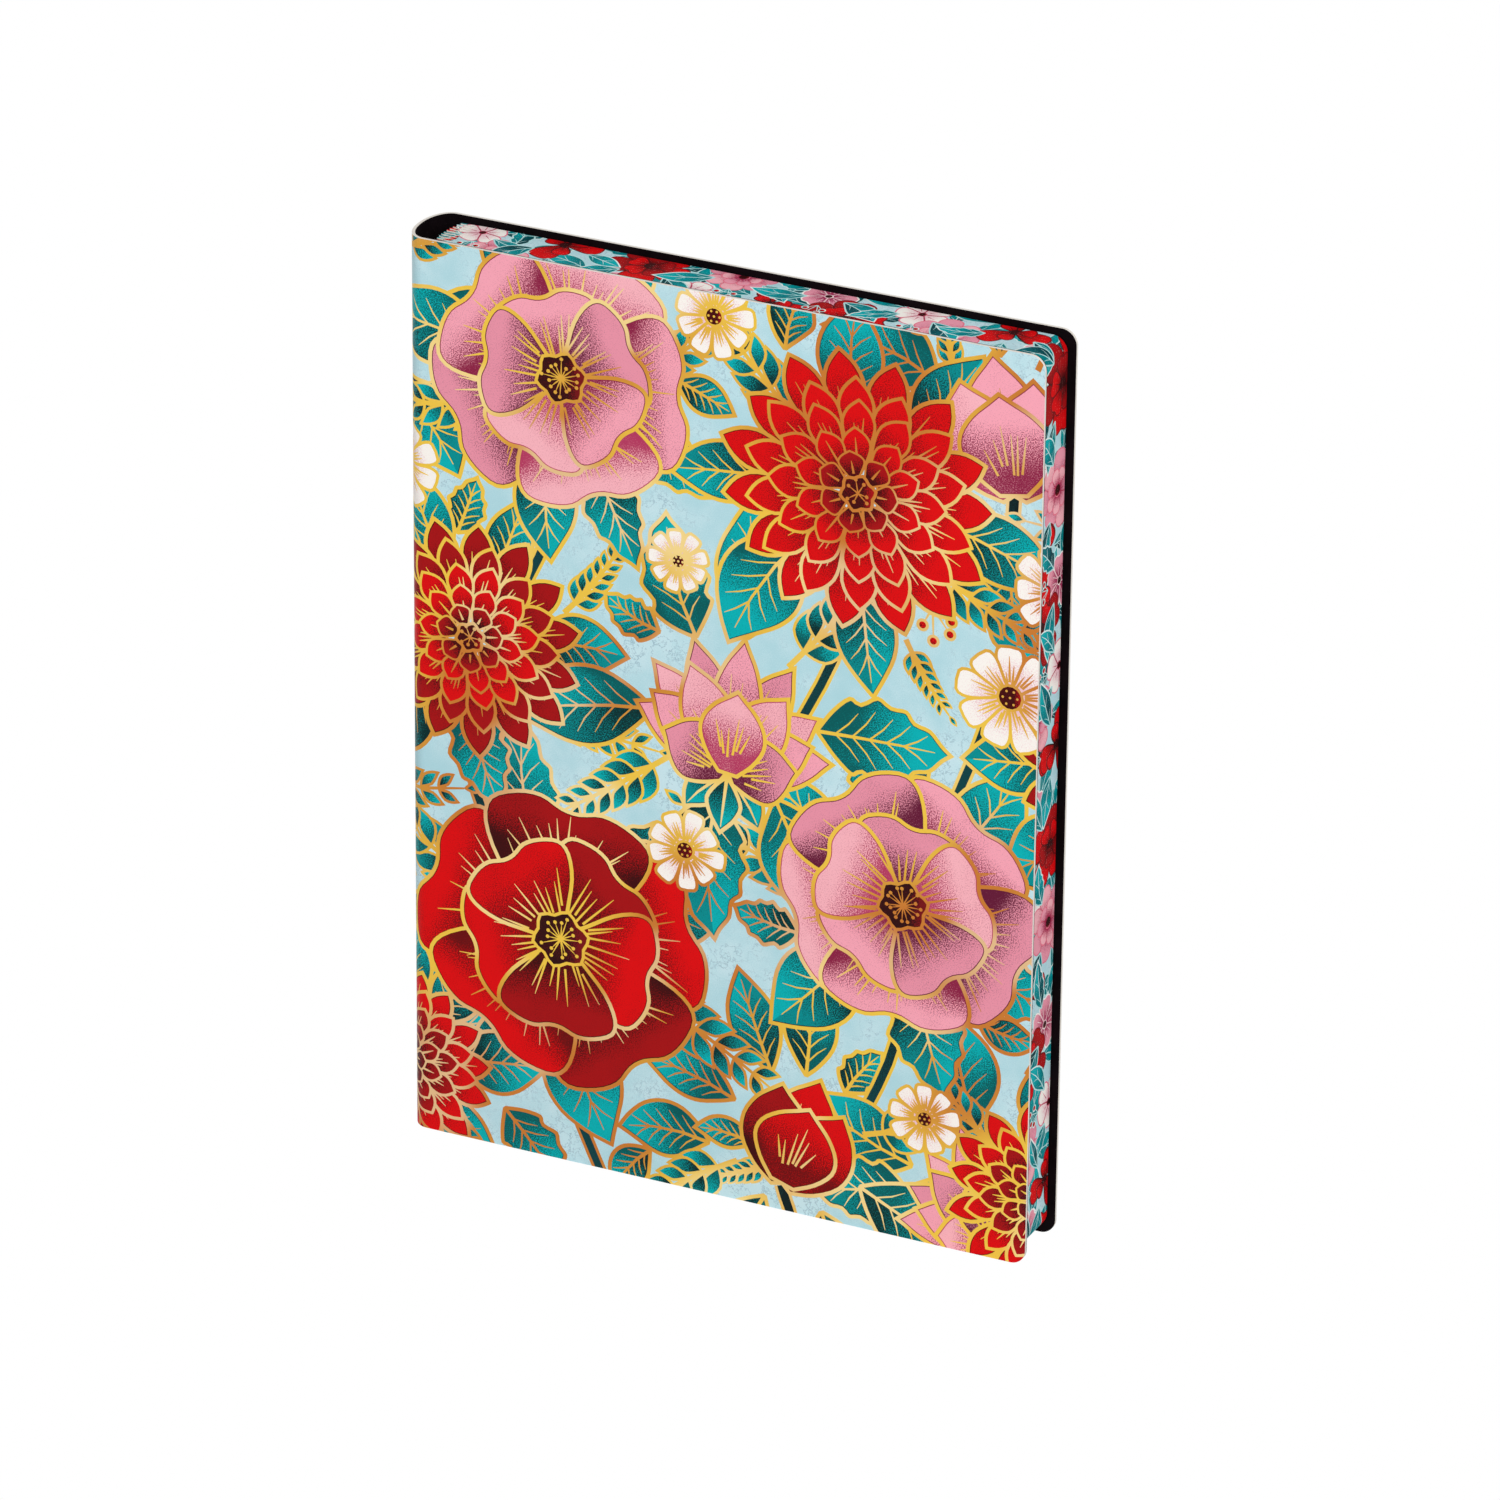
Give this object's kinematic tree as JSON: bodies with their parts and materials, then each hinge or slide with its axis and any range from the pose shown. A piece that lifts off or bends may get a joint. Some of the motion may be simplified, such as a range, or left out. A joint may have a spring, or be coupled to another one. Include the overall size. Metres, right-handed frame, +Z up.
{
  "type": "softcover notebook",
  "caption": "Softcover notebook with a rounded hollow spine, printed flexible covers with black linings, flyleaves and thread-sewn sections with patterned edges.",
  "frame": {"origin": "centre of the bounding box's bottom face, on the surface that the tail edges stand on", "axes": "+Z up the standing notebook from tail to head, +X from the spine to the fore-edge, -Y out of the front cover"},
  "size_m": [0.1504, 0.0168, 0.213],
  "materials": {
    "cover_print": "printed floral pattern under a satin laminate, with gold outlines",
    "card": "uncoated card",
    "black_paper": "matte black lining paper",
    "writing_paper": "uncoated writing paper, printed on its cut edges",
    "gauze": "open cotton weave",
    "glue": "dried flexible glue film",
    "thread": "twisted thread"
  },
  "bodies": {
    "spine": {"spine_print": "cover_print", "spine_card": "card", "spine_lining": "black_paper", "block_gauze": "gauze", "block_glue": "glue", "sewing_thread": "thread"},
    "front_cover": {"front_print": "cover_print", "front_board": "card", "front_lining": "black_paper"},
    "back_cover": {"back_print": "cover_print", "back_board": "card", "back_lining": "black_paper"},
    "front_flyleaf": {"front_flyleaf": "black_paper"},
    "back_flyleaf": {"back_flyleaf": "black_paper"},
    "section_01": {"section_01": "writing_paper"},
    "section_02": {"section_02": "writing_paper"},
    "section_03": {"section_03": "writing_paper"},
    "section_04": {"section_04": "writing_paper"},
    "section_05": {"section_05": "writing_paper"},
    "section_06": {"section_06": "writing_paper"},
    "section_07": {"section_07": "writing_paper"},
    "section_08": {"section_08": "writing_paper"},
    "section_09": {"section_09": "writing_paper"},
    "section_10": {"section_10": "writing_paper"},
    "section_11": {"section_11": "writing_paper"},
    "section_12": {"section_12": "writing_paper"}
  },
  "joints": [
    {"name": "front_cover_hinge", "type": "hinge", "parent": "spine", "child": "front_cover", "pos_m": [-0.07005, -0.00854, 0.1065], "axis": [0, 0, -1], "range_deg": [0, 180]},
    {"name": "back_cover_hinge", "type": "hinge", "parent": "spine", "child": "back_cover", "pos_m": [-0.07005, 0.00854, 0.1065], "axis": [0, 0, 1], "range_deg": [0, 180]},
    {"name": "front_flyleaf_hinge", "type": "hinge", "parent": "spine", "child": "front_flyleaf", "pos_m": [-0.0692, -0.00729, 0.1065], "axis": [0, 0, -1], "range_deg": [0, 73]},
    {"name": "back_flyleaf_hinge", "type": "hinge", "parent": "spine", "child": "back_flyleaf", "pos_m": [-0.0692, 0.00729, 0.1065], "axis": [0, 0, 1], "range_deg": [0, 73]},
    {"name": "section_01_fold", "type": "hinge", "parent": "spine", "child": "section_01", "pos_m": [-0.06845, -0.0065, 0.1065], "axis": [0, 0, -1], "range_deg": [0, 55]},
    {"name": "section_02_fold", "type": "hinge", "parent": "spine", "child": "section_02", "pos_m": [-0.06878, -0.00532, 0.1065], "axis": [0, 0, -1], "range_deg": [0, 46]},
    {"name": "section_03_fold", "type": "hinge", "parent": "spine", "child": "section_03", "pos_m": [-0.06905, -0.00414, 0.1065], "axis": [0, 0, -1], "range_deg": [0, 37]},
    {"name": "section_04_fold", "type": "hinge", "parent": "spine", "child": "section_04", "pos_m": [-0.06925, -0.00296, 0.1065], "axis": [0, 0, -1], "range_deg": [0, 28]},
    {"name": "section_05_fold", "type": "hinge", "parent": "spine", "child": "section_05", "pos_m": [-0.06938, -0.00177, 0.1065], "axis": [0, 0, -1], "range_deg": [0, 19]},
    {"name": "section_06_fold", "type": "hinge", "parent": "spine", "child": "section_06", "pos_m": [-0.06944, -0.00059, 0.1065], "axis": [0, 0, -1], "range_deg": [0, 10]},
    {"name": "section_07_fold", "type": "hinge", "parent": "spine", "child": "section_07", "pos_m": [-0.06944, 0.00059, 0.1065], "axis": [0, 0, 1], "range_deg": [0, 10]},
    {"name": "section_08_fold", "type": "hinge", "parent": "spine", "child": "section_08", "pos_m": [-0.06938, 0.00177, 0.1065], "axis": [0, 0, 1], "range_deg": [0, 19]},
    {"name": "section_09_fold", "type": "hinge", "parent": "spine", "child": "section_09", "pos_m": [-0.06925, 0.00296, 0.1065], "axis": [0, 0, 1], "range_deg": [0, 28]},
    {"name": "section_10_fold", "type": "hinge", "parent": "spine", "child": "section_10", "pos_m": [-0.06905, 0.00414, 0.1065], "axis": [0, 0, 1], "range_deg": [0, 37]},
    {"name": "section_11_fold", "type": "hinge", "parent": "spine", "child": "section_11", "pos_m": [-0.06878, 0.00532, 0.1065], "axis": [0, 0, 1], "range_deg": [0, 46]},
    {"name": "section_12_fold", "type": "hinge", "parent": "spine", "child": "section_12", "pos_m": [-0.06845, 0.0065, 0.1065], "axis": [0, 0, 1], "range_deg": [0, 55]}
  ],
  "couplings": [
    {"joint": "front_flyleaf_hinge", "follows": "front_cover_hinge", "ratio": 0.4},
    {"joint": "section_01_fold", "follows": "front_cover_hinge", "ratio": 0.3},
    {"joint": "section_02_fold", "follows": "front_cover_hinge", "ratio": 0.25},
    {"joint": "section_03_fold", "follows": "front_cover_hinge", "ratio": 0.2},
    {"joint": "section_04_fold", "follows": "front_cover_hinge", "ratio": 0.15},
    {"joint": "section_05_fold", "follows": "front_cover_hinge", "ratio": 0.1},
    {"joint": "section_06_fold", "follows": "front_cover_hinge", "ratio": 0.05},
    {"joint": "back_flyleaf_hinge", "follows": "back_cover_hinge", "ratio": 0.4},
    {"joint": "section_12_fold", "follows": "back_cover_hinge", "ratio": 0.3},
    {"joint": "section_11_fold", "follows": "back_cover_hinge", "ratio": 0.25},
    {"joint": "section_10_fold", "follows": "back_cover_hinge", "ratio": 0.2},
    {"joint": "section_09_fold", "follows": "back_cover_hinge", "ratio": 0.15},
    {"joint": "section_08_fold", "follows": "back_cover_hinge", "ratio": 0.1},
    {"joint": "section_07_fold", "follows": "back_cover_hinge", "ratio": 0.05}
  ]
}
